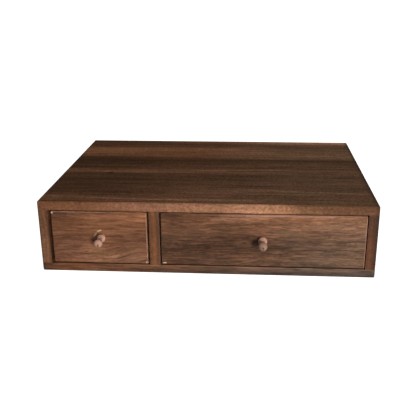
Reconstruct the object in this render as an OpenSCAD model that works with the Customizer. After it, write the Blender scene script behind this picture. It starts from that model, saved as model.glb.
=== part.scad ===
// Wooden puzzle box: a flat walnut case with a small and a large drawer.
// The small drawer's peg turns a hidden latch, and a bolt in the divider locks the large drawer.
// Millimetres. Origin: centre of the case's underside. +Z is up and the drawers open towards -Y.

/* [Case] */
// Outside width of the case
case_w = 305; // [290:1:340]
// Outside depth of the case, front to back
case_d = 227; // [215:1:260]
// Outside height of the case
case_h = 68.5; // [64:0.5:76]
// Thickness of the two side boards
side_t = 9; // [8:0.5:11]
// Thickness of the upright between the drawers
divider_t = 9.5; // [9:0.5:12]
// Thickness of the top
top_t = 8.5; // [8:0.5:10]
// Thickness of the bottom
bottom_t = 8; // [7.5:0.5:10]
// Thickness of the back panel
back_t = 8; // [6:0.5:9]
// Clear width of the small drawer's bay
small_bay_w = 92; // [86:1:100]
// Chamfer on the outer arrises of the case
case_ease = 0.9; // [0.4:0.1:1.2]

/* [Glued-up boards] */
// Width of the top's front board
top_front_w = 99; // [90:1:105]
// Width of the top's middle board
top_middle_w = 48; // [40:1:55]
// Width of the bottom's front board
bottom_front_w = 105; // [95:1:115]

/* [Drawers] */
// Thickness of a drawer front
front_t = 10; // [9.5:0.5:12]
// Thickness of the drawer sides and backs
wall_t = 6; // [5.5:0.5:7]
// Thickness of a drawer's bottom panel
panel_t = 3; // [2.5:0.5:4]
// Length of the small drawer, front to back
small_len = 165; // [155:1:170]
// Gap to the left and to the right of the small drawer
small_gaps = [2.6, 1.8]; // [0.8:0.1:3]
// Gap to the left and to the right of the large drawer
large_gaps = [1.3, 0.9]; // [0.8:0.1:3]
// Gap under and over a drawer front
front_gaps = [0.9, 1.1]; // [0.5:0.1:1.5]
// Chamfer on the edges of a drawer front
front_ease = 0.8; // [0.4:0.1:1.2]

/* [Knobs] */
// Largest diameter of the small and of the large drawer's knob
knob_d = [7.5, 8]; // [7.5:0.5:11]
// How far a knob stands out of its drawer front
knob_len = 20; // [15:0.5:22]
// Diameter of a knob's shaft
shaft_d = 5; // [4.5:0.5:5.5]

/* [Locks] */
// Width of the turn button on the small knob's shaft
button_w = 8; // [7.5:0.5:9]
// Thickness of the turn button
button_t = 5; // [4:0.5:6]
// How far the turn button's tip reaches into the top
button_bite = 3; // [2.5:0.5:3.5]
// Travel of the divider's bolt into the large drawer
bolt_travel = 6.5; // [5:0.5:6.5]
// Width and height of the bolt
bolt_size = [12, 8]; // [8:0.5:12]
// Height of the bolt's centre above the table
bolt_z = 44; // [40:1:46]

/* [Hidden] */
$fn = 64;

// Colours
top_brown = [0.29, 0.20, 0.14];
case_brown = [0.40, 0.27, 0.18];
front_brown = [0.45, 0.31, 0.22];
drawer_brown = [0.55, 0.42, 0.29];
knob_brown = [0.62, 0.45, 0.35];
pale_wood = [0.76, 0.62, 0.42];
steel = [0.70, 0.70, 0.68];

// Clearances
slip = 0.02;     // radial, glued dowel or pin in its hole
running = 0.05;  // radial, the small knob's shaft in its drawer front
play = 0.15;     // bolt in its mortise, each side
room = 0.5;      // the turn button in the mortise that it locks into
loose = 1;       // the bolt in the large drawer's mortise
over = 1;        // how far a cutter runs past the face that it cuts

// Faces of the case
x0 = -case_w / 2;
x1 = case_w / 2;
y0 = -case_d / 2;
y1 = case_d / 2;
z_floor = bottom_t;
z_ceiling = case_h - top_t;
y_back = y1 - back_t;
x_left = x0 + side_t;
x_right = x1 - side_t;
divider_x = [x_left + small_bay_w, x_left + small_bay_w + divider_t];
divider_mid = centre(divider_x[0], divider_x[1]);

// Dowels that hold the top and the bottom to the uprights
dowel_d = 5;
dowel_in_upright = 14;
dowel_in_top = 5.5;
dowel_in_bottom = 5;
dowel_end = 0.3;
dowel_x = [x0 + side_t / 2, divider_mid, x1 - side_t / 2];
dowel_y = [y0 + 17.5, y0 + 67.5, y0 + 122.5, y1 - 16.5];

// Drawer boxes: [outer left x, outer right x, length]
small_box = [x_left + small_gaps[0], divider_x[0] - small_gaps[1], small_len];
large_len = y_back - y0 - 5;
large_box = [divider_x[1] + large_gaps[0], x_right - large_gaps[1], large_len];
front_z = [z_floor + front_gaps[0], z_ceiling - front_gaps[1]];
wall_z = [z_floor + 0.1, z_ceiling - 2];
lip_t = 4;              // front of a drawer front's rabbet
groove_depth = 3;
groove_z = z_floor + 4.1;
groove_play = 0.05;
back_top_drop = 2.5;    // a drawer's back is this much lower than its sides
peg_d = 3;
peg_len = 13;
brad_d = 1.2;
brad_len = 11;
brad_head = [2.4, 0.6]; // diameter, thickness

// Stop blocks behind the drawers
stop_gap = 0.3;
stop_size = [8, 8, 20];

// Knob and latch
knob_z = centre(front_z[0], front_z[1]) + 1.3;
small_knob_x = centre(small_box[0], small_box[1]) + 2.5;
large_knob_x = centre(large_box[0], large_box[1]);
tenon_len = 8;
seat_gap = 0.2;         // turning knob to drawer front
tip_hole = [1.8, 2];    // lathe centre in a knob's tip: diameter, depth
button_gap = 0.4;       // drawer front to turn button
button_y = y0 + front_t + button_gap;
button_reach = z_ceiling + button_bite - knob_z;
button_tail = 8;
cross_pin_d = 1.6;
latch_depth = 3.7;      // mortise in the top for the turn button

// Bolt in the divider
bolt_y = y1 - 35.5;
bolt_tip_x = divider_x[1] - 0.3;
bolt_head = [4, 16, 12];
bolt_head_x = divider_x[0] - bolt_travel - 0.2;
stop_pin_d = 2;
stop_slot = [stop_pin_d + bolt_travel + 0.4, stop_pin_d + 0.4, 4];
pull_len = 11;
pull_d = 9;
pull_tenon = [3, bolt_head.x + 3]; // diameter, length

// ---- Helpers ----

function centre(a, b) = (a + b) / 2;

// A box between two corners
module box(lo, hi) {
    translate(lo) cube(hi - lo);
}

// A rectangle with its corners cut off
module eased_rect(w, h, e) {
    polygon([
        [e, 0], [w - e, 0], [w, e], [w, h - e],
        [w - e, h], [e, h], [0, h - e], [0, e],
    ]);
}

// A box between two corners with a chamfer on all of its edges
module eased_box(lo, hi, e) {
    s = hi - lo;
    translate(lo) intersection() {
        linear_extrude(s.z) eased_rect(s.x, s.y, e);
        translate([0, s.y, 0]) rotate([90, 0, 0]) linear_extrude(s.y) eased_rect(s.x, s.z, e);
        rotate([90, 0, 90]) linear_extrude(s.x) eased_rect(s.y, s.z, e);
    }
}

// A piece of the case: the part of a box that lies inside the eased outline of the whole case
module case_board(lo, hi) {
    intersection() {
        box(lo, hi);
        eased_box([x0, y0, 0], [x1, y1, case_h], case_ease);
    }
}

// A round rod from a point along an axis: "x", "y" or "z", or "-x" and "-y" for the other way
module rod(from, axis, d, len) {
    turn = axis == "x" ? [0, 90, 0]
         : axis == "-x" ? [0, -90, 0]
         : axis == "y" ? [-90, 0, 0]
         : axis == "-y" ? [90, 0, 0]
         : [0, 0, 0];
    translate(from) rotate(turn) cylinder(d = d, h = len);
}

// ---- Case ----

// Vertical dowels on the joints with the top, or their holes with extra > 0
module top_rods(extra) {
    for (x = dowel_x, y = dowel_y)
        rod([x, y, z_ceiling - dowel_in_upright - (extra > 0 ? dowel_end : 0)], "z", dowel_d + 2 * extra,
            dowel_in_upright + dowel_in_top + (extra > 0 ? 2 * dowel_end : 0));
}

// Vertical dowels on the joints with the bottom, or their holes with extra > 0
module bottom_rods(extra) {
    for (x = dowel_x, y = dowel_y)
        rod([x, y, z_floor - dowel_in_bottom - (extra > 0 ? dowel_end : 0)], "z", dowel_d + 2 * extra,
            dowel_in_bottom + dowel_in_upright + (extra > 0 ? 2 * dowel_end : 0));
}

// A board of the top between two distances from the front
module top_board(from, to) {
    difference() {
        case_board([x0, y0 + from, z_ceiling], [x1, y0 + to, case_h]);
        top_rods(slip);
    }
}

// A board of the bottom between two distances from the front
module bottom_board(from, to) {
    difference() {
        case_board([x0, y0 + from, 0], [x1, y0 + to, z_floor]);
        bottom_rods(slip);
    }
}

module top_front_board() {
    color(top_brown) difference() {
        top_board(0, top_front_w);
        latch_mortise();
    }
}

// Shallow mortise in the underside of the top that the turn button swings up into.
// Its left end stops the button upright, and it is long enough on the right for the button's sweep.
module latch_mortise() {
    swing = sqrt(pow(button_reach, 2) + pow(button_w / 2, 2));
    clear = z_ceiling - knob_z;
    sweep_x = sqrt(pow(swing, 2) - pow(clear, 2));
    box([small_knob_x - button_w / 2 - room, button_y - room, z_ceiling - over],
        [small_knob_x + sweep_x + room, button_y + button_t + room, z_ceiling + latch_depth]);
}

module top_middle_board() {
    color(top_brown) top_board(top_front_w, top_front_w + top_middle_w);
}

module top_rear_board() {
    color(top_brown) top_board(top_front_w + top_middle_w, case_d);
}

module bottom_front_board() {
    color(case_brown) bottom_board(0, bottom_front_w);
}

module bottom_rear_board() {
    color(case_brown) bottom_board(bottom_front_w, case_d);
}

// An upright board from the bottom to the top, between two x, with its dowel holes
module upright(xs, y_end) {
    difference() {
        case_board([xs[0], y0, z_floor], [xs[1], y_end, z_ceiling]);
        top_rods(slip);
        bottom_rods(slip);
    }
}

module left_side() {
    color(case_brown) upright([x0, x_left], y1);
}

module right_side() {
    color(case_brown) upright([x_right, x1], y1);
}

module divider() {
    color(case_brown) difference() {
        upright(divider_x, y_back);
        bolt_mortise();
        rod([divider_mid, bolt_y, bolt_z], "z", stop_pin_d + 2 * slip, case_h);
    }
}

module bolt_mortise() {
    box([divider_x[0] - over, bolt_y - bolt_size[0] / 2 - play, bolt_z - bolt_size[1] / 2 - play],
        [divider_x[1] + over, bolt_y + bolt_size[0] / 2 + play, bolt_z + bolt_size[1] / 2 + play]);
}

module back_panel() {
    color(case_brown) case_board([x_left, y_back, z_floor], [x_right, y1, z_ceiling]);
}

module top_dowels() {
    color(pale_wood) top_rods(0);
}

module bottom_dowels() {
    color(pale_wood) bottom_rods(0);
}

// Two blocks on the floor that stop the small drawer flush with the front
module small_drawer_stops() {
    y = y0 + small_len + stop_gap;
    color(drawer_brown) {
        box([x_left, y, z_floor], [x_left + stop_size.x, y + stop_size.y, z_floor + stop_size.z]);
        box([divider_x[0] - stop_size.x, y, z_floor], [divider_x[0], y + stop_size.y, z_floor + stop_size.z]);
    }
}

// Two blocks on the back panel that stop the large drawer flush with the front
module large_drawer_stops() {
    y = y0 + large_len + stop_gap;
    color(drawer_brown) for (x = [divider_x[1] + 20, x_right - 20 - 2 * stop_size.x])
        box([x, y, z_floor], [x + 2 * stop_size.x, y_back, z_floor + stop_size.z]);
}

// Steel pin in the divider that runs in the bolt's slot and limits its travel
module bolt_stop_pin() {
    color(steel) rod([divider_mid, bolt_y, bolt_z], "z", stop_pin_d, z_ceiling - bolt_z - 0.1);
}

// ---- Bolt in the divider ----

// Bar that slides through the divider, with a slot for the stop pin in its upper face
module lock_bolt() {
    slot_lo = [divider_mid - bolt_travel - stop_pin_d / 2 - 0.2, bolt_y - stop_slot.y / 2,
               bolt_z + bolt_size[1] / 2 - stop_slot.z - 0.2];
    color(front_brown) difference() {
        box([bolt_head_x, bolt_y - bolt_size[0] / 2, bolt_z - bolt_size[1] / 2],
            [bolt_tip_x, bolt_y + bolt_size[0] / 2, bolt_z + bolt_size[1] / 2]);
        box(slot_lo, slot_lo + [stop_slot.x, stop_slot.y, stop_slot.z + over]);
        pull_hole();
    }
}

// Block on the end of the bar, which the pull's tenon pins to it
module lock_bolt_head() {
    color(front_brown) difference() {
        eased_box([bolt_head_x - bolt_head.x, bolt_y - bolt_head.y / 2, bolt_z - bolt_head.z / 2],
                  [bolt_head_x, bolt_y + bolt_head.y / 2, bolt_z + bolt_head.z / 2], 0.5);
        pull_hole();
    }
}

module pull_hole() {
    rod([bolt_head_x - bolt_head.x - over, bolt_y, bolt_z], "x", pull_tenon[0] + 2 * slip,
        over + pull_tenon[1] + 0.2);
}

// Turned finger pull whose tenon runs through the head into the bar
module lock_bolt_pull() {
    r = pull_d / 2;
    neck = r * 0.6;
    color(knob_brown) translate([bolt_head_x - bolt_head.x, bolt_y, bolt_z]) rotate([0, -90, 0]) rotate_extrude()
        union() {
            translate([0, -pull_tenon[1]]) square([pull_tenon[0] / 2, pull_tenon[1] + over]);
            square([neck, pull_len - r]);
            intersection() {
                translate([0, pull_len - r]) circle(r = r);
                square([r, pull_len]);
            }
        }
}

// ---- Drawers ----

// A drawer front: grooved for the bottom panel, rabbeted for the sides, drilled for the pegs and the knob
module drawer_front(b, knob_x, hole_d, hole_depth) {
    inner = y0 + front_t;
    difference() {
        eased_box([b[0], y0, front_z[0]], [b[1], inner, front_z[1]], front_ease);
        for (x = [b[0] - over, b[1] - wall_t])
            box([x, y0 + lip_t, front_z[0] - over], [x + wall_t + over, inner + over, front_z[1] + over]);
        box([b[0] + wall_t - groove_depth, inner - groove_depth, groove_z],
            [b[1] - wall_t + groove_depth, inner + over, groove_z + panel_t + 2 * groove_play]);
        peg_rods(b, slip);
        rod([knob_x, y0 - over, knob_z], "y", hole_d, over + hole_depth);
    }
}

// A drawer side with its outer face at x, its inner face towards dir, a groove for the panel and peg holes
module drawer_side(b, x, dir) {
    y_end = y0 + b[2];
    xs = dir > 0 ? [x, x + wall_t] : [x - wall_t, x];
    groove_x = dir > 0 ? [x + wall_t - groove_depth, x + wall_t + over] : [x - wall_t - over, x - wall_t + groove_depth];
    difference() {
        box([xs[0], y0 + lip_t, wall_z[0]], [xs[1], y_end, wall_z[1]]);
        box([groove_x[0], y0, groove_z], [groove_x[1], y_end + over, groove_z + panel_t + 2 * groove_play]);
        peg_rods(b, slip);
    }
}

// A drawer back, which stands on the bottom panel between the sides
module drawer_back(b) {
    y_end = y0 + b[2];
    difference() {
        box([b[0] + wall_t, y_end - wall_t, groove_z + panel_t + 2 * groove_play],
            [b[1] - wall_t, y_end, wall_z[1] - back_top_drop]);
        peg_rods(b, slip);
        brads(b, slip);
    }
}

// The bottom panel, which slides in from the back under the drawer back
module drawer_bottom(b) {
    side_in = wall_t - groove_depth + groove_play;
    difference() {
        box([b[0] + side_in, y0 + front_t - groove_depth + groove_play, groove_z + groove_play],
            [b[1] - side_in, y0 + b[2], groove_z + groove_play + panel_t]);
        brads(b, slip);
    }
}

// Pegs across a drawer's four corner joints, or their holes with extra > 0
module peg_rods(b, extra) {
    ys = [y0 + centre(lip_t, front_t), y0 + b[2] - wall_t / 2];
    zs = [front_z[0] + 0.27 * (front_z[1] - front_z[0]), front_z[0] + 0.75 * (front_z[1] - front_z[0])];
    past = extra > 0 ? over : 0;
    for (y = ys, z = zs) {
        rod([b[0] - past, y, z], "x", peg_d + 2 * extra, past + peg_len + (extra > 0 ? 0.2 : 0));
        rod([b[1] + past, y, z], "-x", peg_d + 2 * extra, past + peg_len + (extra > 0 ? 0.2 : 0));
    }
}

// Brads up through the bottom panel into the drawer back, or their holes with extra > 0
module brads(b, extra) {
    for (share = [0.25, 0.75]) {
        at = [b[0] + share * (b[1] - b[0]), y0 + b[2] - wall_t / 2, groove_z + groove_play];
        rod(at - [0, 0, extra > 0 ? over : 0], "z", brad_d + 2 * extra, brad_len + (extra > 0 ? over + 0.2 : 0));
        if (extra == 0)
            rod(at - [0, 0, brad_head[1]], "z", brad_head[0], brad_head[1]);
    }
}

module small_drawer_front() {
    color(front_brown) drawer_front(small_box, small_knob_x, shaft_d + 2 * running, front_t + over);
}

module small_drawer_left_side() {
    color(drawer_brown) drawer_side(small_box, small_box[0], 1);
}

module small_drawer_right_side() {
    color(drawer_brown) drawer_side(small_box, small_box[1], -1);
}

module small_drawer_back() {
    color(drawer_brown) drawer_back(small_box);
}

module small_drawer_bottom() {
    color(drawer_brown) drawer_bottom(small_box);
}

module small_drawer_pegs() {
    color(pale_wood) peg_rods(small_box, 0);
}

module small_drawer_brads() {
    color(steel) brads(small_box, 0);
}

module large_drawer_front() {
    color(front_brown) drawer_front(large_box, large_knob_x, shaft_d + 2 * slip, tenon_len + 0.3);
}

// The large drawer's left side also has the mortise that the divider's bolt locks into
module large_drawer_left_side() {
    color(drawer_brown) difference() {
        drawer_side(large_box, large_box[0], 1);
        box([large_box[0] - over, bolt_y - bolt_size[0] / 2 - loose, bolt_z - bolt_size[1] / 2 - loose],
            [large_box[0] + wall_t + over, bolt_y + bolt_size[0] / 2 + loose, bolt_z + bolt_size[1] / 2 + loose]);
    }
}

module large_drawer_right_side() {
    color(drawer_brown) drawer_side(large_box, large_box[1], -1);
}

module large_drawer_back() {
    color(drawer_brown) drawer_back(large_box);
}

module large_drawer_bottom() {
    color(drawer_brown) drawer_bottom(large_box);
}

module large_drawer_pegs() {
    color(pale_wood) peg_rods(large_box, 0);
}

module large_drawer_brads() {
    color(steel) brads(large_box, 0);
}

// ---- Knobs and the latch ----

// Half outline of a turned knob from its seat at y = 0: a bead, a tight waist and a ball with a hole in its tip
module knob_outline(d) {
    r = d / 2;
    bead_r = 0.2 * knob_len;
    ball_y = knob_len - r;
    difference() {
        union() {
            square([0.75 * r, 2 * bead_r]);
            intersection() {
                translate([r - bead_r, bead_r]) circle(r = bead_r);
                square([r, 2 * bead_r]);
            }
            square([0.62 * r, ball_y]);
            intersection() {
                translate([0, ball_y]) circle(r = r);
                square([r, knob_len]);
            }
        }
        translate([0, knob_len - tip_hole[1]]) square([tip_hole[0] / 2, tip_hole[1] + over]);
    }
}

// A turned knob of diameter d whose seat is at y_seat, with a shaft of the given length behind it
module turned_knob(x, y_seat, d, shaft_len) {
    translate([x, y_seat, knob_z]) rotate([90, 0, 0]) rotate_extrude() {
        knob_outline(d);
        translate([0, -shaft_len]) square([shaft_d / 2, shaft_len + over]);
    }
}

// The small drawer's knob turns: its shaft runs through the front and carries the turn button
module small_knob() {
    color(knob_brown) difference() {
        turned_knob(small_knob_x, y0 - seat_gap, knob_d[0], seat_gap + front_t + button_gap + button_t);
        cross_pin(slip);
    }
}

// Wooden latch on the small knob's shaft. It lies along +X when unlocked and turns up to lock.
module turn_button() {
    color(front_brown) difference() {
        eased_box([small_knob_x - button_tail, button_y, knob_z - button_w / 2],
                  [small_knob_x + button_reach, button_y + button_t, knob_z + button_w / 2], 0.5);
        rod([small_knob_x, button_y - over, knob_z], "y", shaft_d + 2 * slip, button_t + 2 * over);
        cross_pin(slip);
    }
}

// Pin across the turn button and the shaft, or its hole with extra > 0
module cross_pin(extra) {
    rod([small_knob_x, button_y + button_t / 2, knob_z - button_w / 2 - (extra > 0 ? over : 0)], "z",
        cross_pin_d + 2 * extra, button_w + (extra > 0 ? 2 * over : 0));
}

module turn_button_pin() {
    color(steel) cross_pin(0);
}

module large_knob() {
    color(knob_brown) turned_knob(large_knob_x, y0, knob_d[1], tenon_len);
}

// ---- Nodes ----

top_front_board();
top_middle_board();
top_rear_board();
bottom_front_board();
bottom_rear_board();
left_side();
right_side();
divider();
back_panel();
top_dowels();
bottom_dowels();
small_drawer_stops();
large_drawer_stops();
bolt_stop_pin();
lock_bolt();
lock_bolt_head();
lock_bolt_pull();
small_drawer_front();
small_drawer_left_side();
small_drawer_right_side();
small_drawer_back();
small_drawer_bottom();
small_drawer_pegs();
small_drawer_brads();
small_knob();
turn_button();
turn_button_pin();
large_drawer_front();
large_drawer_left_side();
large_drawer_right_side();
large_drawer_back();
large_drawer_bottom();
large_drawer_pegs();
large_drawer_brads();
large_knob();
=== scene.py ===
"""A walnut puzzle box with two drawers: materials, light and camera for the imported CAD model.

The frame has X to the right, Y to the back and Z up, with X = 0 in the middle of the case and Z = 0 under it.
Materials work in millimetres, and everything else is in metres.
"""
import math

import bpy
from mathutils import Matrix, Vector


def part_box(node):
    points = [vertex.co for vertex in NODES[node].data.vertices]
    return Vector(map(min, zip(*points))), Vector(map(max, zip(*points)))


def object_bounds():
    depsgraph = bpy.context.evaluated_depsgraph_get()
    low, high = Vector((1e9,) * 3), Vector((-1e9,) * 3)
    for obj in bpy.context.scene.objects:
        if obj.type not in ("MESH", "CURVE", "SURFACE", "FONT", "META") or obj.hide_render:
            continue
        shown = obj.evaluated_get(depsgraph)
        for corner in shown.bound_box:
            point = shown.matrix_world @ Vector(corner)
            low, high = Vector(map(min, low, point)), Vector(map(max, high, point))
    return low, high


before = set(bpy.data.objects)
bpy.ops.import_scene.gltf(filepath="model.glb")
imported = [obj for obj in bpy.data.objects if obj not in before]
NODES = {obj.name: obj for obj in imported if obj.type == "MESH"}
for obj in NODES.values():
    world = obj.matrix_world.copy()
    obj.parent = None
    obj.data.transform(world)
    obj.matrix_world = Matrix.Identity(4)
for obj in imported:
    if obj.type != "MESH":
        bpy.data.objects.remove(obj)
cad_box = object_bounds()
MM = 0.001


def box_mm(name):
    """Lowest and highest corner of a CAD node in millimetres, each as {"X": x, "Y": y, "Z": z}."""
    return [dict(zip("XYZ", corner / MM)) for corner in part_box(name)]


# ---- Node graphs ----

TOP_LEVEL = 4.0     # the highest level of a tone; ramps hold 0 to 1, so they store levels divided by it


class Graph:
    """One material's node tree. A value may be a number, a colour or another node's output."""

    def __init__(self, name):
        self.material = bpy.data.materials.new(name)
        self.material.use_nodes = True
        self.tree = self.material.node_tree
        self.tree.nodes.clear()
        self.shader = self.add("ShaderNodeBsdfPrincipled")
        output = self.add("ShaderNodeOutputMaterial")
        self.tree.links.new(self.shader.outputs[0], output.inputs[0])

    def add(self, kind, **settings):
        node = self.tree.nodes.new(kind)
        for key, value in settings.items():
            setattr(node, key, value)
        return node

    def plug(self, socket, value):
        """Links a node's output to the socket, or sets a number or a colour on it."""
        if isinstance(value, bpy.types.NodeSocket):
            self.tree.links.new(value, socket)
        elif hasattr(value, "__len__") and len(value) == 3 and socket.type == "RGBA":
            socket.default_value = (*value, 1.0)
        else:
            socket.default_value = value

    def math(self, operation, *values, clamp=False):
        node = self.add("ShaderNodeMath", operation=operation, use_clamp=clamp)
        for socket, value in zip(node.inputs, values):
            self.plug(socket, value)
        return node.outputs[0]

    def plus(self, *values):
        total = values[0]
        for value in values[1:]:
            total = self.math("ADD", total, value)
        return total

    def times(self, *values):
        total = values[0]
        for value in values[1:]:
            total = self.math("MULTIPLY", total, value)
        return total

    def minus(self, a, b):
        return self.math("SUBTRACT", a, b)

    def over(self, a, b):
        return self.math("DIVIDE", a, b)

    def size(self, value):
        """The value without its sign."""
        return self.math("ABSOLUTE", value)

    def length(self, *values):
        return self.math("SQRT", self.plus(*[self.times(value, value) for value in values]))

    def about_zero(self, value, weight):
        """Turns noise of 0 to 1 into a push to both sides, weight wide in all."""
        return self.times(self.minus(value, 0.5), weight)

    def xyz(self, x, y, z):
        node = self.add("ShaderNodeCombineXYZ")
        for socket, value in zip(node.inputs, (x, y, z)):
            self.plug(socket, value)
        return node.outputs[0]

    def noise(self, vector, detail=2.0, roughness=0.5):
        node = self.add("ShaderNodeTexNoise")
        self.plug(node.inputs["Vector"], vector)
        node.inputs["Scale"].default_value = 1.0
        node.inputs["Detail"].default_value = detail
        node.inputs["Roughness"].default_value = roughness
        return node.outputs["Fac"]

    def spread(self, value, low, high, to_low=0.0, to_high=1.0, smooth=True):
        """Stretches low..high to to_low..to_high, clamped."""
        node = self.add("ShaderNodeMapRange", clamp=True)
        node.interpolation_type = "SMOOTHSTEP" if smooth else "LINEAR"
        for index, number in enumerate((value, low, high, to_low, to_high)):
            self.plug(node.inputs[index], number)
        return node.outputs[0]

    def fade(self, value, low, high):
        """1 up to low, 0 from high on."""
        return self.spread(value, low, high, 1.0, 0.0)

    def ramp(self, value, stops):
        """Colours or greys at positions from 0 to 1."""
        node = self.add("ShaderNodeValToRGB")
        elements = node.color_ramp.elements
        elements.remove(elements[1])
        elements[0].position = stops[0][0]
        for position, _ in stops[1:]:
            elements.new(position)
        for element, (_, colour) in zip(elements, stops):
            channels = colour if hasattr(colour, "__len__") else (colour, colour, colour)
            element.color = (*channels, 1.0)
        self.plug(node.inputs[0], value)
        return node.outputs[0]

    def curve(self, value, stops):
        """A grey level that runs straight between (place, level) stops."""
        first, last = stops[0][0], stops[-1][0]
        position = self.spread(value, first, last, smooth=False)
        divided = self.ramp(position, [((place - first) / (last - first), level / TOP_LEVEL)
                                       for place, level in stops])
        return self.times(divided, TOP_LEVEL)

    def mix(self, factor, a, b, blend="MIX"):
        node = self.add("ShaderNodeMix", data_type="RGBA", blend_type=blend)
        for socket, value in ((node.inputs[0], factor), (node.inputs[6], a), (node.inputs[7], b)):
            self.plug(socket, value)
        return node.outputs[2]

    def tint(self, colour, levels):
        """A colour times a red, a green and a blue level."""
        return self.mix(1.0, colour, levels, "MULTIPLY")

    def scale(self, colour, amount):
        """A colour times a grey level."""
        return self.tint(colour, self.xyz(amount, amount, amount))

    def place(self):
        """X, Y and Z in millimetres in the frame that the model was drawn in."""
        coordinates = self.add("ShaderNodeTexCoord").outputs["Object"]
        parts = self.add("ShaderNodeSeparateXYZ")
        self.plug(parts.inputs[0], coordinates)
        return {axis: self.times(parts.outputs[axis], 1 / MM) for axis in "XYZ"}

    def bump(self, height, strength, distance_mm):
        node = self.add("ShaderNodeBump")
        node.inputs["Strength"].default_value = strength
        node.inputs["Distance"].default_value = distance_mm * MM
        self.plug(node.inputs["Height"], height)
        self.plug(self.shader.inputs["Normal"], node.outputs[0])

    def finish(self, colour, roughness, specular):
        self.plug(self.shader.inputs["Base Color"], colour)
        self.plug(self.shader.inputs["Roughness"], roughness)
        self.shader.inputs["Specular IOR Level"].default_value = specular


# ---- Wood ----

WALNUT = {"dark": (0.034, 0.0145, 0.0070), "mid": (0.098, 0.0415, 0.0200),
          "light": (0.190, 0.0830, 0.0415), "grey": (0.080, 0.0480, 0.0300)}
RUSSET = {"dark": (0.032, 0.0120, 0.0050), "mid": (0.098, 0.0395, 0.0180),
          "light": (0.195, 0.0870, 0.0440), "grey": (0.080, 0.0420, 0.0240)}
INNER = {"dark": (0.180, 0.105, 0.058), "mid": (0.355, 0.230, 0.133),
         "light": (0.480, 0.335, 0.210), "grey": (0.310, 0.225, 0.150)}
PALE = {"dark": (0.330, 0.210, 0.120), "mid": (0.540, 0.385, 0.235),
        "light": (0.680, 0.520, 0.340), "grey": (0.480, 0.390, 0.290)}
KNOB = {"dark": (0.220, 0.105, 0.068), "mid": (0.430, 0.235, 0.165),
        "light": (0.560, 0.335, 0.245), "grey": (0.340, 0.215, 0.160)}

PINKER, OLIVER = (1.02, 0.98, 1.05), (0.99, 1.015, 0.95)    # the two ways that patches of the wood lean

# Length and width of the layers of noise that are the same in every wood.
WANDER_SIZE, RIPPLE_SIZE, SHEEN_SIZE = (110.0, 34.0), (24.0, 9.0), (9.0, 14.0)
BLOTCH_SIZE, FLECK_SIZE = (70.0, 16.0), (3.6, 0.30)

SWEEP_FADE = 14.0       # height over which a sweep of the grain dies out
LAYER_LENGTH = 900.0    # how slowly the growth layers change along the grain
SHEEN = 0.2             # strength of the soft light and dark clouds in every wood
GREYING = 0.75          # how far the blotches go to the palette's grey
PORE_DEPTH = 0.5        # how far the pores go to the palette's dark

# The noise at which each of these begins, and at which it is at its full strength.
BLOTCHES, DARK_DASHES, LIGHT_DASHES = (0.40, 0.66), (0.52, 0.66), (0.54, 0.70)
FLECKS, CLOSED_ROWS, LEANING = (0.60, 0.70), (0.38, 0.60), (0.36, 0.64)

SEED_STEP = 59.3        # how far one piece's noise lies from the next piece's
# How far each layer of a piece's noise is moved along, so that no two layers line up.
SHIFTS = {"wander": 0.0, "ripple": 11.0, "marks": 23.0, "hairs": 37.0, "ticks": 41.0, "sheen": 53.0,
          "cast": 61.0, "blotches": 67.0, "flecks": 71.0, "dark dashes": 83.0, "light dashes": 97.0}


class Grain:
    """The noise that runs along one piece's grain.

    axes gives the row axes along the grain, across the width and through the thickness.
    """

    def __init__(self, graph, at, axes, seed):
        self.graph = graph
        self.along, self.width, self.thick = (at[axis] for axis in axes)
        self.offset = SEED_STEP * seed

    def streaks(self, layer, across_at, length, across, detail=2.0, roughness=0.5):
        """One layer of streaks, of the given length and width, at a place across the board."""
        graph = self.graph
        along = graph.plus(graph.over(self.along, length), self.offset + SHIFTS[layer])
        return graph.noise(graph.xyz(along, graph.over(across_at, across), graph.over(self.thick, across)),
                           detail, roughness)

    def bend(self, wander, ripple, sweep):
        """The place across the width as the bent grain sees it."""
        graph = self.graph
        slow = self.streaks("wander", self.width, *WANDER_SIZE, 1.0)
        quick = self.streaks("ripple", self.width, *RIPPLE_SIZE)
        bent = graph.plus(self.width, graph.about_zero(slow, 2 * wander), graph.about_zero(quick, 2 * ripple))
        if sweep:
            start, end, rise, height = sweep
            near_foot = graph.fade(self.width, height - SWEEP_FADE, height)
            bent = graph.minus(bent, graph.times(graph.spread(self.along, start, end), near_foot, rise))
        return bent

    def layers(self, bent, pith, ring):
        """Growth layers: rings about the pith on an end, and long figure on a face."""
        graph = self.graph
        radius = graph.length(graph.minus(bent, pith[0]), graph.plus(self.thick, pith[1]))
        return graph.noise(graph.xyz(graph.over(radius, ring), graph.over(self.along, LAYER_LENGTH),
                                     self.offset), 4.0, 0.6)

    def band_level(self, bent, bands, ends):
        """A level that follows the bands across the width, and changes along the grain between the ends."""
        graph = self.graph
        columns = [graph.curve(bent, [(place, levels[column]) for place, *levels in bands])
                   for column in range(len(ends))]
        level = columns[0]
        for start, end, column in zip(ends, ends[1:], columns[1:]):
            level = graph.plus(level, graph.times(graph.spread(self.along, start, end),
                                                  graph.minus(column, level)))
        return level


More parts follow.
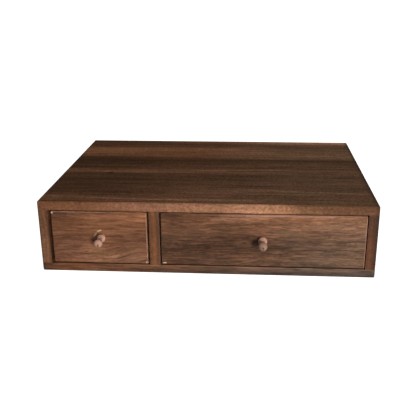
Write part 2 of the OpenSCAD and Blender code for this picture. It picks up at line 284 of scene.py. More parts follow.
def wood(name, axes, seed, palette=WALNUT, pith=(0.0, 60.0), ring=5.0, growth=0.9, wander=4.0, ripple=1.0,
         marks=(40.0, 3.0, 0.5), hairs=(22.0, 1.0, 0.8), ticks=(6.0, 0.3, 0.5),
         dashes=(11.0, 1.6, 0.25, 0.15), pores=1.0, bands=None, ends=(-150.0, 150.0), warm=0.5,
         roughness=0.6, specular=0.12, cast=(14.0, 3.0), umber=None, sweep=None, extra=()):
    """Solid wood that shows long grain on the faces and rings on the ends.

    pith is where the middle of the log was, across and below; ring is how wide its growth layers are and
    growth how strongly they show. wander and ripple bend the grain.
    marks, hairs and ticks are soft streaks: length, width and strength. dashes are crisp ones: length,
    width, strength of the dark ones and of the light ones. pores is the strength of the open pores.
    warm is how little of the wood has grey blotches.
    bands lists (place across the width, level at each of the places along the grain in ends).
    umber is how much browner the darker bands turn.
    cast is the length and width of the patches that lean towards pink or olive.
    sweep=(from, to, rise, height) lifts the grain by rise between two places along it, below a height.
    extra lists the marks that are laid over the wood.
    """
    graph = Graph(name)
    at = graph.place()
    grain = Grain(graph, at, axes, seed)
    bent = grain.bend(wander, ripple, sweep)
    layers = grain.layers(bent, pith, ring)
    soft = grain.streaks("marks", bent, *marks[:2], 2.0, 0.55)
    thin = grain.streaks("hairs", bent, *hairs[:2], 3.0, 0.6)
    fine = grain.streaks("ticks", bent, *ticks[:2], 2.0, 0.6)
    sheen = grain.streaks("sheen", bent, *SHEEN_SIZE)
    value = graph.plus(graph.about_zero(layers, growth), graph.about_zero(soft, marks[2]),
                       graph.about_zero(thin, hairs[2]), graph.about_zero(fine, ticks[2]),
                       graph.about_zero(sheen, SHEEN), 0.5)
    colour = graph.ramp(value, [(0.10, palette["dark"]), (0.50, palette["mid"]), (0.92, palette["light"])])

    blotches = grain.streaks("blotches", grain.width, *BLOTCH_SIZE)
    colour = graph.mix(graph.spread(blotches, *BLOTCHES, 0.0, 1.0 - warm), colour,
                       graph.mix(GREYING, colour, palette["grey"]))
    dark_dashes = graph.spread(grain.streaks("dark dashes", bent, *dashes[:2]), *DARK_DASHES)
    light_dashes = graph.spread(grain.streaks("light dashes", bent, *dashes[:2]), *LIGHT_DASHES)
    colour = graph.mix(graph.times(dark_dashes, dashes[2]), colour, palette["dark"])
    colour = graph.mix(graph.times(light_dashes, dashes[3]), colour, palette["light"])
    flecks = grain.streaks("flecks", bent, *FLECK_SIZE, 1.0, 0.4)
    open_rows = graph.spread(layers, *CLOSED_ROWS, 1.0, 0.35)
    pore = graph.times(graph.spread(flecks, *FLECKS), open_rows, pores)
    colour = graph.mix(graph.times(pore, PORE_DEPTH), colour, palette["dark"])

    if cast:
        lean = graph.spread(grain.streaks("cast", bent, *cast), *LEANING)
        colour = graph.tint(colour, graph.mix(lean, PINKER, OLIVER))
    if bands:
        level = grain.band_level(bent, bands, ends)
        if umber:
            blue = graph.math("POWER", graph.math("MINIMUM", level, 1.0), umber)
            colour = graph.tint(colour, graph.xyz(1.0, 1.0, blue))
        colour = graph.scale(colour, level)
    for mark in extra:
        colour = mark(graph, at, colour)

    relief = graph.plus(graph.times(thin, 0.5), graph.times(fine, 0.35), graph.times(pore, -0.9))
    graph.bump(relief, strength=0.5, distance_mm=0.10)
    uneven = graph.math("ADD", graph.about_zero(thin, -0.25), graph.plus(graph.times(pore, 0.2), roughness),
                        clamp=True)
    graph.finish(colour, uneven, specular)
    return graph.material


def steel(name):
    """Brushed steel for the pins and brads."""
    graph = Graph(name)
    at = graph.place()
    brushed = graph.noise(graph.xyz(at["X"], at["Y"], graph.times(at["Z"], 12.0)), 3.0, 0.6)
    colour = graph.ramp(brushed, [(0.2, (0.30, 0.29, 0.28)), (0.8, (0.58, 0.57, 0.55))])
    graph.shader.inputs["Metallic"].default_value = 1.0
    graph.bump(brushed, strength=0.2, distance_mm=0.02)
    graph.finish(colour, roughness=graph.spread(brushed, 0.2, 0.8, 0.25, 0.5), specular=0.5)
    return graph.material


# ---- Marks on single pieces ----
# Each of these returns a function that adds the mark to a colour: mark(graph, at, colour).
# Places are in millimetres, with X from the middle of the case.

ARRIS_LINE_REACH = (0.48, 1.04)       # distances from an arris where its pale line, partly wear and partly painted highlight, begins to fade, and where it's gone
FACE_DEPTH = (0.75, 1.1)        # the same behind a board's front, for what shows on that face alone
# The next colour is painted shade inside the hole at a knob's tip.
HOLE_SHADE_BROWN = (0.050, 0.022, 0.016)
RIM_BROWN = (0.028, 0.017, 0.010)
EDGE_BROWN = (0.090, 0.040, 0.020)
KNOT_DARK, KNOT_PALE = (0.024, 0.012, 0.006), (0.230, 0.110, 0.055)


def on_front(graph, at, low, reach=FACE_DEPTH):
    """1 on a board's front face and 0 behind it. low is the board's low corner."""
    return graph.fade(at["Y"], low["Y"] + reach[0], low["Y"] + reach[1])


def distance_from(graph, at, centre, reach, axes="XZ"):
    """How far a place is from the centre, as a share of the reach along each axis."""
    return graph.length(*[graph.over(graph.minus(at[axis], middle), half)
                          for axis, middle, half in zip(axes, centre, reach)])


def worn_and_lit_arrises(name, wear_and_highlight, tint=(0.36, 0.195, 0.145)):
    """Pale lines round a drawer front, partly wear and partly a painted highlight on the arrises that face
    the light. The second argument maps a side to its strengths at its low and high end.
    """
    low, high = box_mm(name)
    sides = {"left": ("X", low["X"], "Z"), "right": ("X", high["X"], "Z"),
             "bottom": ("Z", low["Z"], "X"), "top": ("Z", high["Z"], "X")}

    def mark(graph, at, colour):
        breakup = graph.noise(graph.xyz(graph.over(at["X"], 4.0), 0.0, graph.over(at["Z"], 4.0)), 3.0, 0.6)
        facing = on_front(graph, at, low, (0.5, 1.5))
        for side, (start, end) in wear_and_highlight.items():
            axis, edge, along = sides[side]
            away = graph.size(graph.minus(at[axis], edge))
            strength = graph.spread(at[along], low[along], high[along], start, end)
            line = graph.times(graph.fade(away, *ARRIS_LINE_REACH), graph.spread(breakup, 0.35, 0.6, 0.3, 1.0),
                               strength, facing)
            colour = graph.mix(line, colour, tint)
        return colour
    return mark


def chip(centre, size, tint):
    """A ragged spot of another colour. centre is X and Z, and size its half width and half height."""
    def mark(graph, at, colour):
        ragged = graph.noise(graph.xyz(at["X"], at["Y"], at["Z"]), 2.0)
        edge = graph.plus(distance_from(graph, at, centre, size), graph.minus(ragged, 0.5))
        return graph.mix(graph.fade(edge, 0.55, 1.1), colour, tint)
    return mark


def scratch(start, end, breadth, tint, strength=1.0):
    """A ragged line of another colour on a drawer front between two (X, Z) places."""
    run, rise = end[0] - start[0], end[1] - start[1]
    length = math.hypot(run, rise)

    def mark(graph, at, colour):
        across, up = graph.minus(at["X"], start[0]), graph.minus(at["Z"], start[1])
        along = graph.plus(graph.times(across, run / length), graph.times(up, rise / length))
        ragged = graph.noise(graph.xyz(at["X"], 0.0, at["Z"]), 3.0, 0.7)
        off = graph.plus(graph.times(across, -rise / length), graph.times(up, run / length),
                         graph.about_zero(ragged, breadth))
        line = graph.fade(graph.size(off), 0.3 * breadth, breadth)
        inside = graph.times(graph.spread(along, -0.5, 0.5), graph.fade(along, length - 0.5, length + 0.5))
        return graph.mix(graph.times(line, inside, strength), colour, tint)
    return mark


def glow(centre, reach, levels):
    """A soft patch on a drawer front, paler or darker by its levels. centre is X and Z."""
    def mark(graph, at, colour):
        inside = graph.fade(distance_from(graph, at, centre, reach), 0.2, 1.3)
        return graph.mix(inside, colour, graph.tint(colour, levels))
    return mark


def knob_painted_shade(name, tip, hole_shade):
    """Painted shade on a knob: darker towards its tip, and a small dark spot low on the tip, painted as the
    shade inside its hole.
    """
    low, high = box_mm(name)
    hole_shade_centre = ((low["X"] + high["X"]) / 2 + 0.5, (low["Z"] + high["Z"]) / 2 - 1.5)

    def mark(graph, at, colour):
        shade_toward_tip = graph.fade(at["Y"], low["Y"] + 4.0, low["Y"] + 14.0)
        colour = graph.mix(shade_toward_tip, colour, graph.tint(colour, tip))
        # Painted shade in the hole low on the tip.
        away = distance_from(graph, at, hole_shade_centre, (1.0, 1.0))
        spot = graph.times(graph.spread(away, 0.5, 1.3, hole_shade, 0.0), on_front(graph, at, low, (2.0, 3.0)))
        return graph.mix(spot, colour, HOLE_SHADE_BROWN)
    return mark


def knot(dark, pale, size):
    """A small pin knot in the top: a dark spot and the pale flare behind it, each at an X and Y."""
    def mark(graph, at, colour):
        ragged = graph.noise(graph.xyz(graph.times(at["X"], 0.4), graph.times(at["Y"], 0.6), 0.0), 2.0)
        for centre, strength, tint in ((pale, 0.7, KNOT_PALE), (dark, 0.85, KNOT_DARK)):
            away = distance_from(graph, at, centre, size, "XY")
            spot = graph.spread(graph.plus(away, ragged, -0.5), 0.4, 1.3, strength, 0.0)
            colour = graph.mix(spot, colour, tint)
        return colour
    return mark


def light_line(start, end, breadth, strength):
    """A thin light vein across the top between two (X, Y) places, broken up along its length."""
    slope = (end[1] - start[1]) / (end[0] - start[0])
    end_fade = 6.0

    def mark(graph, at, colour):
        wave = graph.noise(graph.xyz(graph.over(at["X"], 30.0), 0.0, 0.0), 2.0)
        line = graph.plus(graph.times(graph.minus(at["X"], start[0]), slope), start[1],
                          graph.about_zero(wave, 2.0))
        off = graph.size(graph.minus(at["Y"], line))
        broken = graph.noise(graph.xyz(graph.over(at["X"], 7.0), 0.0, 0.0), 2.0)
        shown = graph.times(graph.fade(off, 0.3 * breadth, breadth),
                            graph.spread(broken, 0.35, 0.6, 0.3, 1.0),
                            graph.spread(at["X"], start[0] - end_fade, start[0] + end_fade),
                            graph.fade(at["X"], end[0] - end_fade, end[0] + end_fade))
        return graph.scale(colour, graph.plus(graph.times(shown, strength), 1.0))
    return mark


def toned(name, axis, stops, front_only=False, fade_in=None):
    """Multiplies the colour by levels that run straight between stops along an axis.

    A stop is the distance from the board's low side, and a grey level or a red, a green and a blue one.
    fade_in=(from X, to X) brings it in from left to right.
    """
    low, _ = box_mm(name)
    reach = stops[-1][0]

    def divided(levels):
        return tuple(level / TOP_LEVEL for level in (levels * 3 if len(levels) == 1 else levels))

    def mark(graph, at, colour):
        position = graph.spread(at[axis], low[axis], low[axis] + reach, smooth=False)
        ramp = graph.ramp(position, [(away / reach, divided(levels)) for away, *levels in stops])
        painted = graph.tint(colour, graph.tint(ramp, (TOP_LEVEL,) * 3))
        if fade_in:
            painted = graph.mix(graph.spread(at["X"], *fade_in), colour, painted)
        return graph.mix(on_front(graph, at, low), colour, painted) if front_only else painted
    return mark


def figured_faces(name):
    """Stronger long grain on the wide faces of an upright than on its front edge."""
    low, _ = box_mm(name)

    def mark(graph, at, colour):
        def streaks(length, across):
            return graph.noise(graph.xyz(graph.over(at["Y"], length), graph.over(at["Z"], across),
                                         graph.over(at["X"], 6.0)), 3.0, 0.6)
        broad = graph.spread(streaks(90.0, 7.0), 0.32, 0.68, 0.7, 1.25)
        narrow = graph.spread(streaks(24.0, 1.1), 0.32, 0.68, 0.75, 1.2)
        behind = graph.spread(at["Y"], low["Y"] + 0.8, low["Y"] + 2.0)
        return graph.mix(behind, colour, graph.scale(colour, graph.times(broad, narrow)))
    return mark


def dull_ends(name):
    """Darker arrises at the two ends of a top board."""
    low, high = box_mm(name)

    def mark(graph, at, colour):
        ends = graph.plus(graph.spread(at["X"], low["X"] + 0.5, low["X"] + 3.0, 0.3, 0.0),
                          graph.spread(at["X"], high["X"] - 6.0, high["X"] - 1.0, 0.0, 0.6))
        return graph.mix(ends, colour, RIM_BROWN)
    return mark


def speckled(name, darker, lighter):
    """Fine specks on the front edge of a board, as open pores and short light flecks."""
    low, _ = box_mm(name)

    def mark(graph, at, colour):
        specks = graph.noise(graph.xyz(graph.over(at["X"], 2.2), graph.over(at["Y"], 2.0),
                                       graph.over(at["Z"], 1.3)), 2.0, 0.7)
        amount = graph.spread(specks, 0.32, 0.68, darker, lighter, smooth=False)
        evened = graph.scale(graph.mix(0.45, colour, EDGE_BROWN), amount)
        return graph.mix(on_front(graph, at, low), colour, evened)
    return mark


def weathered(name, ends, heights_up, tint=(0.90, 1.16, 1.42)):
    """Greyer wood towards the far end and the foot of a drawer front.

    heights_up are where it starts to fade, and where it is gone at the near and at the far end.
    """
    low, _ = box_mm(name)
    full, near, far = (low["Z"] + height for height in heights_up)

    def mark(graph, at, colour):
        gone = graph.spread(at["X"], *ends, near, far)
        amount = graph.times(graph.spread(at["X"], *ends, 0.25, 1.0), graph.fade(at["Z"], full, gone))
        return graph.mix(amount, colour, graph.tint(colour, tint))
    return mark


# ---- Which wood each piece is cut from ----

FRONT_Y = box_mm("top_front_board")[0]["Y"]             # the front of the case
FRONT_FOOT = box_mm("small_drawer_front")[0]["Z"]       # the lower edge of the drawer fronts
WORN_LIT_PINK = (0.48, 0.29, 0.23)      # the pale top arris of the large front, partly wear and partly a painted highlight

TOP = dict(axes="XYZ", ring=7.0, growth=0.5, wander=1.6, ripple=0.4, marks=(90.0, 4.2, 0.8),
           hairs=(26.0, 1.5, 0.5), ticks=(2.2, 2.2, 1.1), dashes=(18.0, 2.2, 0.1, 0.3), specular=0.03,
           cast=(45.0, 14.0), umber=0.3, roughness=0.7, warm=0.9, ends=(-110.0, 0.0, 95.0))
BOTTOM = dict(axes="XYZ", ring=5.0, marks=(60.0, 2.4, 0.9), hairs=(26.0, 1.3, 1.1),
              dashes=(20.0, 2.2, 0.6, 0.4))
UPRIGHT = dict(axes="YZX", ring=2.2, growth=1.1, wander=1.2, ripple=0.3, warm=0.8, pores=0.6,
               marks=(40.0, 3.0, 0.3), hairs=(22.0, 1.2, 0.9), ticks=(6.0, 0.3, 0.3),
               dashes=(11.0, 2.2, 0.15, 0.1))
PANEL = dict(axes="XZY", ring=4.0)
WALL = dict(palette=INNER, pores=0.5, roughness=0.65, warm=0.85)
PEG = dict(palette=PALE, cast=None, pores=0.3, growth=0.6, ticks=(6.0, 0.3, 0.3))
TURNED = dict(PEG, palette=KNOB, axes="YXZ", ring=3.0, dashes=(6.0, 1.6, 0.2, 0.1))


def depths(*bands):
    """Bands given by their distance behind the front of the case."""
    return [(FRONT_Y + away, *levels) for away, *levels in bands]


def heights(*bands):
    """Bands given by their height above the lower edge of a drawer front."""
    return [(FRONT_FOOT + up, *levels) for up, *levels in bands]


def on_top(x, depth):
    """A place on the top, by its X and its distance behind the front of the case."""
    return (x, FRONT_Y + depth)


def top_marks(board, tones):
    """What all three top boards share: how red, green and blue change from left to right, and dull ends."""
    return [toned(board, "X", tones), dull_ends(board)]


def top_front_look():
    board = "top_front_board"
    bands = depths((2, 0.82, 1.12, 0.88), (5, 1.15, 1.85, 1.15), (8, 1.65, 2.0, 1.45),
                   (14, 1.45, 1.55, 1.15), (20, 0.95, 1.55, 1.35), (26, 0.8, 1.45, 1.35),
                   (32, 0.6, 1.25, 1.3), (38, 0.65, 1.3, 1.35), (44, 0.65, 1.2, 1.1), (50, 0.65, 1.0, 1.0),
                   (56, 0.6, 1.0, 0.95), (62, 0.65, 1.0, 1.3), (68, 0.5, 0.75, 1.2), (74, 0.6, 0.8, 0.95),
                   (80, 0.75, 0.95, 1.0), (87, 0.65, 0.95, 1.1), (91, 1.0, 1.2, 1.25),
                   (94, 1.8, 1.55, 1.35), (98, 2.1, 1.6, 1.45))
    veins = [light_line(on_top(-148.0, 17.0), on_top(-86.0, 12.0), breadth=2.2, strength=0.6),
             light_line(on_top(-92.0, 12.0), on_top(-20.0, 9.6), breadth=2.2, strength=0.8),
             light_line(on_top(-26.0, 9.6), on_top(24.0, 9.0), breadth=1.8, strength=0.3),
             light_line(on_top(30.0, 9.5), on_top(120.0, 11.0), breadth=1.6, strength=0.5),
             light_line(on_top(-36.0, 46.5), on_top(32.0, 43.2), breadth=1.3, strength=0.3),
             light_line(on_top(28.0, 43.4), on_top(142.0, 32.2), breadth=1.4, strength=0.5)]
    pin_knot = knot(dark=on_top(-104.0, 90.6), pale=on_top(-108.6, 96.4), size=(3.6, 3.0))
    edge_up = [(0, 0.85), (1.2, 1.05), (5.5, 1.05), (7.5, 0.85), (8.5, 0.65)]
    # The front edge's tones from left to right: wood tone, and the brightest stretch, around 200 mm from its
    # left end, a painted sheen.
    edge_tone_and_sheen = [(0, 1.5, 1.43, 1.5), (45, 1.58, 1.55, 1.62), (85, 2.02, 2.1, 2.35), (122, 2.4, 2.48, 2.85),
                   (163, 1.98, 2.0, 2.15), (202, 3.12, 3.15, 3.48), (222, 2.75, 2.7, 2.9),
                   (240, 1.42, 1.4, 1.48), (275, 1.2, 1.14, 1.15), (305, 1.05, 1.0, 1.02)]
    return dict(TOP, seed=1, pith=(-60.0, -8.0), bands=bands,
                extra=[*veins, pin_knot,
                       *top_marks(board, [(0, 1.04, 1.05, 0.98), (130, 1.04, 1.14, 1.19),
                                          (215, 1.04, 1.25, 1.38), (305, 1.04, 1.28, 1.44)]),
                       speckled(board, 0.8, 1.25),
                       toned(board, "Z", edge_up, front_only=True),
                       toned(board, "X", edge_tone_and_sheen, front_only=True)])


def top_middle_look():
    bands = depths((100, 1.8, 1.55, 1.45), (105, 1.1, 1.3, 1.4), (110, 0.65, 0.95, 1.05),
                   (116, 0.65, 1.1, 1.15), (122, 0.8, 1.15, 1.2), (128, 0.6, 0.95, 1.15),
                   (134, 0.5, 0.65, 0.85), (141, 0.45, 0.6, 0.75), (146, 0.5, 0.75, 0.8))
    vein = light_line(on_top(-16.0, 101.8), on_top(80.0, 107.8), breadth=1.6, strength=0.6)
    return dict(TOP, seed=2, pith=(60.0, -30.0), bands=bands,
                extra=[vein,
                       *top_marks("top_middle_board", [(0, 1.03, 1.02, 0.89), (130, 1.03, 1.09, 1.04),
                                                       (215, 1.04, 1.22, 1.28), (305, 1.04, 1.25, 1.3)])])


def top_rear_look():
    # The bands at 218 and 224 mm, pale and blue at the right end, are a painted highlight along the rear
    # arris.
    bands = depths((149, 0.75, 1.38, 1.5), (158, 1.35, 1.5, 1.7), (164, 2.2, 1.8, 1.78),
                   (170, 1.85, 1.8, 1.85), (176, 2.2, 2.05, 1.75), (182, 2.0, 2.05, 1.72),
                   (190, 1.7, 1.95, 1.4), (196, 1.38, 1.88, 1.3), (202, 0.95, 1.45, 1.28),
                   (207, 0.92, 1.2, 1.35), (212, 1.1, 0.9, 1.75), (218, 0.95, 1.6, 3.7),
                   (224, 0.75, 1.8, 4.0))
    return dict(TOP, seed=3, pith=(110.0, -20.0), bands=bands,
                extra=top_marks("top_rear_board", [(0, 1.03, 0.99, 0.84), (130, 1.03, 1.05, 0.95),
                                                   (215, 1.03, 1.21, 1.3), (305, 1.03, 1.27, 1.41)]))


def bottom_front_look():
    board = "bottom_front_board"
    across = [(0, 0.55, 0.55, 0.52), (40, 1.36, 1.26, 1.15), (100, 0.98, 0.97, 0.97), (170, 0.88, 1.1, 1.38),
              (205, 0.89, 1.16, 1.57), (242, 0.78, 1.14, 1.66), (305, 0.88, 1.28, 1.82)]
    # Towards its top the front face grows much paler, faded in from the left: painted light at the gap under
    # the drawer fronts.
    up = [(0, 0.8, 0.85, 0.85), (2.5, 0.75, 0.78, 0.8), (4.5, 1.0, 1.0, 1.0), (7.2, 1.3, 1.28, 1.25),
          (8, 2.4, 2.2, 2.1)]
    return dict(BOTTOM, seed=4, pith=(-40.0, 30.0), growth=0.5,
                extra=[toned(board, "X", across, front_only=True),
                       toned(board, "Z", up, front_only=True, fade_in=(-110.0, -40.0))])


def upright_look(name, across, up, **changes):
    """A side or the divider, with the tones of its front edge from left to right and from bottom to top."""
    return dict(UPRIGHT, extra=[figured_faces(name), toned(name, "X", across, front_only=True),
                                toned(name, "Z", up, front_only=True)], **changes)


def left_side_look():
    across = [(0, 0.98, 0.98, 0.95), (3, 1.15, 1.2, 1.22), (6, 1.18, 1.26, 1.28), (8, 1.05, 1.05, 1.0),
              (8.7, 0.8, 0.75, 0.7), (9, 0.9, 0.85, 0.8)]
    up = [(0, 1.2), (22, 1.18), (34, 0.88), (52, 0.85)]
    return upright_look("left_side", across, up, seed=6, pith=(30.0, 400.0))


def right_side_look():
    # The front edge darkens towards its outer side as painted shade; the bright first stop on the inner arris
    # is painted light beside the large drawer.
    across = [(0, 2.2, 1.9, 1.8), (0.3, 0.7, 0.64, 0.64), (2, 0.95, 0.94, 0.92), (5, 0.82, 0.79, 0.77),
              (7, 0.5, 0.51, 0.53), (9, 0.25, 0.3, 0.38)]
    up = [(0, 1.1, 1.0, 1.0), (24, 1.08, 1.0, 1.0), (34, 0.85), (52, 0.75, 0.78, 0.8)]
    return upright_look("right_side", across, up, seed=7, pith=(30.0, 500.0))


def divider_look():
    across = [(0, 0.9, 0.87, 0.8), (1.5, 1.35, 1.26, 1.06), (5, 1.45, 1.34, 1.16), (7, 1.05, 1.08, 1.04),
              (9.2, 0.65, 0.75, 0.88), (9.5, 1.3, 1.4, 1.5)]
    up = [(0, 1.1), (22, 1.08), (34, 0.94), (52, 0.92)]
    return upright_look("divider", across, up, seed=8, pith=(30.0, 400.0), warm=1.0)


def small_front_look():
    name = "small_drawer_front"
    low, high = box_mm(name)
    left, right, foot, head = low["X"], high["X"], low["Z"], high["Z"]
    knob_low, knob_high = box_mm("small_knob")
    knob_x, knob_z = ((knob_low[axis] + knob_high[axis]) / 2 for axis in "XZ")
    pale_foot = [glow((-97.0, foot + 7.0), (22.0, 9.0), (1.2, 1.28, 1.38)),
                 glow((-68.0, foot + 8.0), (18.0, 12.0), (1.0, 1.08, 1.18)),
                 toned(name, "Z", [(0, 1.0, 1.07, 1.2), (24, 1.0, 1.03, 1.1), (36, 1.0)])]
    # A dark wedge under the top arris at the left end: painted shade.
    shade_wedge = scratch((left + 2.6, head - 1.9), (left + 15.0, head - 2.8), breadth=1.9,
                         tint=(0.056, 0.026, 0.015), strength=0.75)
    chips = [chip((left + 1.5, head - 1.1), (1.15, 0.9), (0.42, 0.31, 0.24)),
             chip((right - 1.3, foot + 1.6), (1.0, 1.3), (0.34, 0.20, 0.155))]
    knob_scratches = [scratch((knob_x - 5.0, knob_z + 3.6), (knob_x - 8.0, knob_z - 0.2), breadth=0.7,
                              tint=(0.32, 0.22, 0.16), strength=0.6),
                      scratch((knob_x - 4.4, knob_z + 5.0), (knob_x - 0.6, knob_z + 6.2), breadth=0.9,
                              tint=(0.50, 0.33, 0.19), strength=0.8)]
    # Pale arris lines, partly wear and partly a painted highlight, strongest on the right and top arrises,
    # which face the light.
    wear_and_highlight = worn_and_lit_arrises(name, {"right": (0.8, 0.55), "top": (0.7, 0.1), "bottom": (0.0, 0.4)})
    # The last band, darker at the left end just under the top arris, is painted shade as well.
    bands = heights((2, 1.45, 1.78, 1.65), (8, 1.4, 1.74, 1.6), (20, 1.04, 1.38, 1.04),
                    (31, 1.15, 1.34, 1.15), (43, 1.02, 1.52, 2.05), (48, 0.7, 1.42, 2.05))
    return dict(PANEL, seed=10, palette=RUSSET, pith=(12.0, 160.0), ripple=1.8, wander=5.0, warm=0.9,
                growth=0.5, marks=(30.0, 2.4, 0.8), hairs=(15.0, 1.3, 0.7), ticks=(4.0, 0.9, 0.4),
                dashes=(15.0, 2.0, 0.35, 0.3), sweep=(-92.0, -58.0, 7.0, 34.0),
                ends=(-132.0, -98.0, -64.0), bands=bands,
                extra=[*pale_foot, wear_and_highlight, shade_wedge, *chips, *knob_scratches])


def large_front_look():
    name = "large_drawer_front"
    low, high = box_mm(name)
    head = high["Z"]
    grey_end = weathered(name, (10.0, 125.0), (20.0, 32.0, 60.0))
    # Along the top of the front: the first, pale patch is a painted sheen, the two darker patches darken the
    # wood below it and along the arris, and the pink lines on the top arris are partly wear and partly a
    # painted highlight.
    sheen_and_wear_strip = [glow((27.0, head - 5.0), (30.0, 3.4), (1.28, 1.4, 1.58)),
                  glow((26.0, head - 9.4), (22.0, 2.0), (0.68, 0.7, 0.7)),
                  glow((12.0, head - 2.2), (22.0, 1.2), (0.72, 0.75, 0.8)),
                  scratch((12.0, head - 1.2), (70.0, head - 1.1), 1.2, WORN_LIT_PINK, 0.16),
                  scratch((36.0, head - 1.1), (114.0, head - 1.0), 1.2, WORN_LIT_PINK, 0.24)]
    # Pale arris lines, partly wear and partly a painted highlight, strongest on the right arris, which faces
    # the light.
    wear_and_highlight = worn_and_lit_arrises(name, {"right": (0.8, 0.8), "top": (0.0, 0.5), "left": (0.4, 0.1)})
    corner_chip = chip((low["X"] + 2.8, low["Z"] + 1.5), (2.2, 0.8), (0.42, 0.30, 0.21))
    bands = heights((3, 0.75, 0.9, 1.17, 1.25), (12, 0.65, 0.72, 0.97, 1.06), (19, 0.53, 0.46, 0.68, 1.08),
                    (31, 1.07, 0.73, 1.15, 1.48), (40, 0.87, 1.1, 1.45, 1.54), (47, 0.86, 1.27, 1.62, 1.66))
    return dict(PANEL, seed=11, pith=(60.0, 170.0), ripple=0.8, warm=0.6, growth=0.5, marks=(40.0, 2.8, 0.8),
                hairs=(20.0, 1.4, 0.9), ticks=(3.6, 1.0, 0.9), dashes=(16.0, 2.0, 0.5, 0.75),
                ends=(-38.0, 22.0, 67.0, 127.0), bands=bands,
                extra=[grey_end, *sheen_and_wear_strip, wear_and_highlight, corner_chip])


def case_looks():
    return {"top_front_board": top_front_look(),
            "top_middle_board": top_middle_look(),
            "top_rear_board": top_rear_look(),
            "bottom_front_board": bottom_front_look(),
            "bottom_rear_board": dict(BOTTOM, seed=5, pith=(40.0, 30.0)),
            "left_side": left_side_look(),
            "right_side": right_side_look(),
            "divider": divider_look(),
            "back_panel": dict(PANEL, seed=9, pith=(20.0, -50.0)),
            "top_dowels": dict(PEG, axes="ZXY", seed=12),
            "bottom_dowels": dict(PEG, axes="ZXY", seed=13),
            "small_drawer_stops": dict(WALL, axes="XZY", seed=14),
            "large_drawer_stops": dict(WALL, axes="XZY", seed=15)}


def drawer_looks(drawer, first_seed):
    """The walls, bottom and pegs of one drawer."""
    pieces = {"left_side": dict(WALL, axes="YZX"), "right_side": dict(WALL, axes="YZX"),
              "back": dict(WALL, axes="XZY"), "bottom": dict(WALL, axes="XYZ"), "pegs": dict(PEG, axes="XYZ")}
    return {f"{drawer}_{piece}": dict(look, seed=first_seed + number)
            for number, (piece, look) in enumerate(pieces.items())}


def lock_looks():
    return {"lock_bolt": dict(axes="XZY", seed=16),
            "lock_bolt_head": dict(axes="ZYX", seed=17),
            "lock_bolt_pull": dict(PEG, axes="XYZ", seed=18),
            "turn_button": dict(axes="XZY", seed=25)}


def knob_looks():
    # Each knob's tip levels and hole strength are painted shade.
    return {"small_knob": dict(TURNED, seed=24, extra=[knob_painted_shade("small_knob", (0.85, 0.85, 0.85), 0.65)]),
            "large_knob": dict(TURNED, seed=31, extra=[knob_painted_shade("large_knob", (0.55, 0.58, 0.58), 0.3)])}


def paint():
    """Gives each CAD node its wood. What has no wood here is steel."""
    looks = {**case_looks(), **lock_looks(), **knob_looks(),
             "small_drawer_front": small_front_look(), **drawer_looks("small_drawer", 19),
             "large_drawer_front": large_front_look(), **drawer_looks("large_drawer", 26)}
    for name, node in NODES.items():
        material = wood(f"{name}_wood", **looks[name]) if name in looks else steel(f"{name}_steel")
        node.data.materials.clear()
        node.data.materials.append(material)


# ---- Edges ----

ARRIS = 0.22 * MM           # how wide the rounding of an arris is
WELD_DISTANCE = 1e-6
SHARP = math.radians(40)    # from this angle on, two faces meet in an arris
MOST_FACES = 4000           # a piece with more faces is fine enough already


def ease_edges():
    """Joins the split corners of each CAD piece, then rounds its arrises slightly.

    The drawer bottoms keep their arrises, which sit in grooves.
    """
    for name, node in NODES.items():
        weld = node.modifiers.new("weld", "WELD")
        weld.merge_threshold = WELD_DISTANCE
        if len(node.data.polygons) < MOST_FACES and not name.endswith("drawer_bottom"):
            bevel = node.modifiers.new("bevel", "BEVEL")
            bevel.width = ARRIS
            bevel.segments = 2
            bevel.limit_method = "ANGLE"
            bevel.angle_limit = SHARP
            bevel.harden_normals = True


# ---- Stage ----

WHITE = (1.0, 1.0, 1.0)
HORIZON, ZENITH = 0.12, 0.40    # brightness of the soft light from the sides and from above
FLOOR_RADIUS, FLOOR_CORNERS, FLOOR_GAP = 60.0, 64, 0.0001
SEEN_GLOW = 0.9                 # how brightly the floor shines for the camera alone
LIT_SPOT = (0.0, -0.1, 0.03)    # the case's front, which the two warm lights face

# The camera that was solved from the photo's corners and edges.
CAMERA_PLACE = (0.04065, -0.65271, 0.26009)
CAMERA_LEFT, CAMERA_DOWN, CAMERA_ROLL = (math.radians(angle) for angle in (4.086, 19.882, -0.405))
CAMERA_LENS, CAMERA_SENSOR = 56.212, 36.0    # millimetres
CAMERA_REACH = 200.0                         # metres, past the floor's rim


def add_floor():
    """Pale paper that looks evenly lit and throws only a little light back up."""
    mesh = bpy.data.meshes.new("floor")
    angles = [math.tau * corner / FLOOR_CORNERS for corner in range(FLOOR_CORNERS)]
    mesh.from_pydata([(FLOOR_RADIUS * math.cos(angle), FLOOR_RADIUS * math.sin(angle), 0.0)
                      for angle in angles], [], [tuple(range(FLOOR_CORNERS))])
    floor = bpy.data.objects.new("floor", mesh)
    bpy.context.scene.collection.objects.link(floor)
    floor.location.z = cad_box[0][2] - FLOOR_GAP
    graph = Graph("floor_paper")
    at = graph.place()
    paper = graph.noise(graph.xyz(at["X"], at["Y"], at["Z"]), 2.0)
    seen = graph.add("ShaderNodeLightPath").outputs["Is Camera Ray"]
    dim, pale = (graph.ramp(paper, [(0.0, grey), (1.0, grey + 0.02)]) for grey in (0.48, 0.86))
    graph.finish(graph.mix(seen, dim, pale), roughness=0.9, specular=0.1)
    graph.plug(graph.shader.inputs["Emission Color"], WHITE)
    graph.plug(graph.shader.inputs["Emission Strength"], graph.times(seen, SEEN_GLOW))
    mesh.materials.append(graph.material)


def area_light(name, place, target, size, watts, colour=WHITE):
    data = bpy.data.lights.new(name, "AREA")
    data.shape = "DISK"
    data.size = size
    data.energy = watts
    data.color = colour
    light = bpy.data.objects.new(name, data)
    bpy.context.scene.collection.objects.link(light)
    light.location = place
    light.rotation_euler = (Vector(target) - Vector(place)).to_track_quat("-Z", "Y").to_euler()


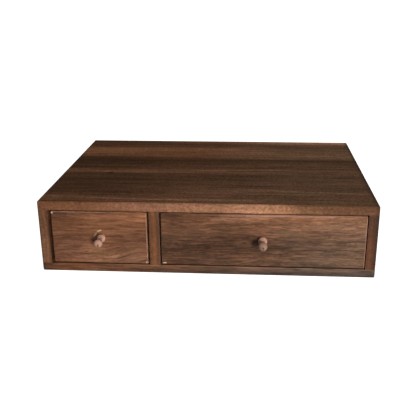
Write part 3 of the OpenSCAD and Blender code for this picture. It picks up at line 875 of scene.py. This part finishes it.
def add_lights():
    """A warm key from the front right, a low light from the right, and a faint fill from behind."""
    area_light("key", place=(0.96, -2.51, 0.56), target=LIT_SPOT, size=0.60, watts=78.0,
               colour=(1.0, 0.97, 0.93))
    area_light("side", place=(2.00, -0.55, 0.12), target=LIT_SPOT, size=0.40, watts=18.0,
               colour=(1.0, 0.97, 0.94))
    area_light("back_fill", place=(-1.1, 1.2, 0.9), target=(0.0, 0.0, 0.03), size=1.2, watts=2.0)


def add_surroundings():
    """White for the camera, and for the box a soft light that grows from the horizon upwards."""
    world = bpy.data.worlds.new("studio")
    bpy.context.scene.world = world
    world.use_nodes = True
    tree = world.node_tree
    tree.nodes.clear()
    direction, parts, height, path = (tree.nodes.new(kind) for kind in (
        "ShaderNodeTexCoord", "ShaderNodeSeparateXYZ", "ShaderNodeMapRange", "ShaderNodeLightPath"))
    seen, soft, mix, output = (tree.nodes.new(kind) for kind in (
        "ShaderNodeBackground", "ShaderNodeBackground", "ShaderNodeMixShader", "ShaderNodeOutputWorld"))
    for background in (seen, soft):
        background.inputs["Color"].default_value = (*WHITE, 1.0)
    height.inputs["To Min"].default_value = HORIZON
    height.inputs["To Max"].default_value = ZENITH
    for start, end in ((direction.outputs["Generated"], parts.inputs[0]),
                       (parts.outputs["Z"], height.inputs[0]),
                       (height.outputs[0], soft.inputs["Strength"]),
                       (path.outputs["Is Camera Ray"], mix.inputs[0]),
                       (soft.outputs[0], mix.inputs[1]),
                       (seen.outputs[0], mix.inputs[2]),
                       (mix.outputs[0], output.inputs[0])):
        tree.links.new(start, end)


def add_camera():
    data = bpy.data.cameras.new("camera")
    data.sensor_width = CAMERA_SENSOR
    data.lens = CAMERA_LENS
    data.clip_end = CAMERA_REACH
    camera = bpy.data.objects.new("camera", data)
    bpy.context.scene.collection.objects.link(camera)
    turn = (Matrix.Rotation(CAMERA_LEFT, 4, "Z") @ Matrix.Rotation(math.radians(90) - CAMERA_DOWN, 4, "X")
            @ Matrix.Rotation(CAMERA_ROLL, 4, "Z"))
    camera.matrix_world = Matrix.Translation(CAMERA_PLACE) @ turn
    bpy.context.scene.camera = camera


paint()
ease_edges()
add_floor()
add_lights()
add_surroundings()
add_camera()
bpy.context.scene.view_settings.view_transform = "Standard"
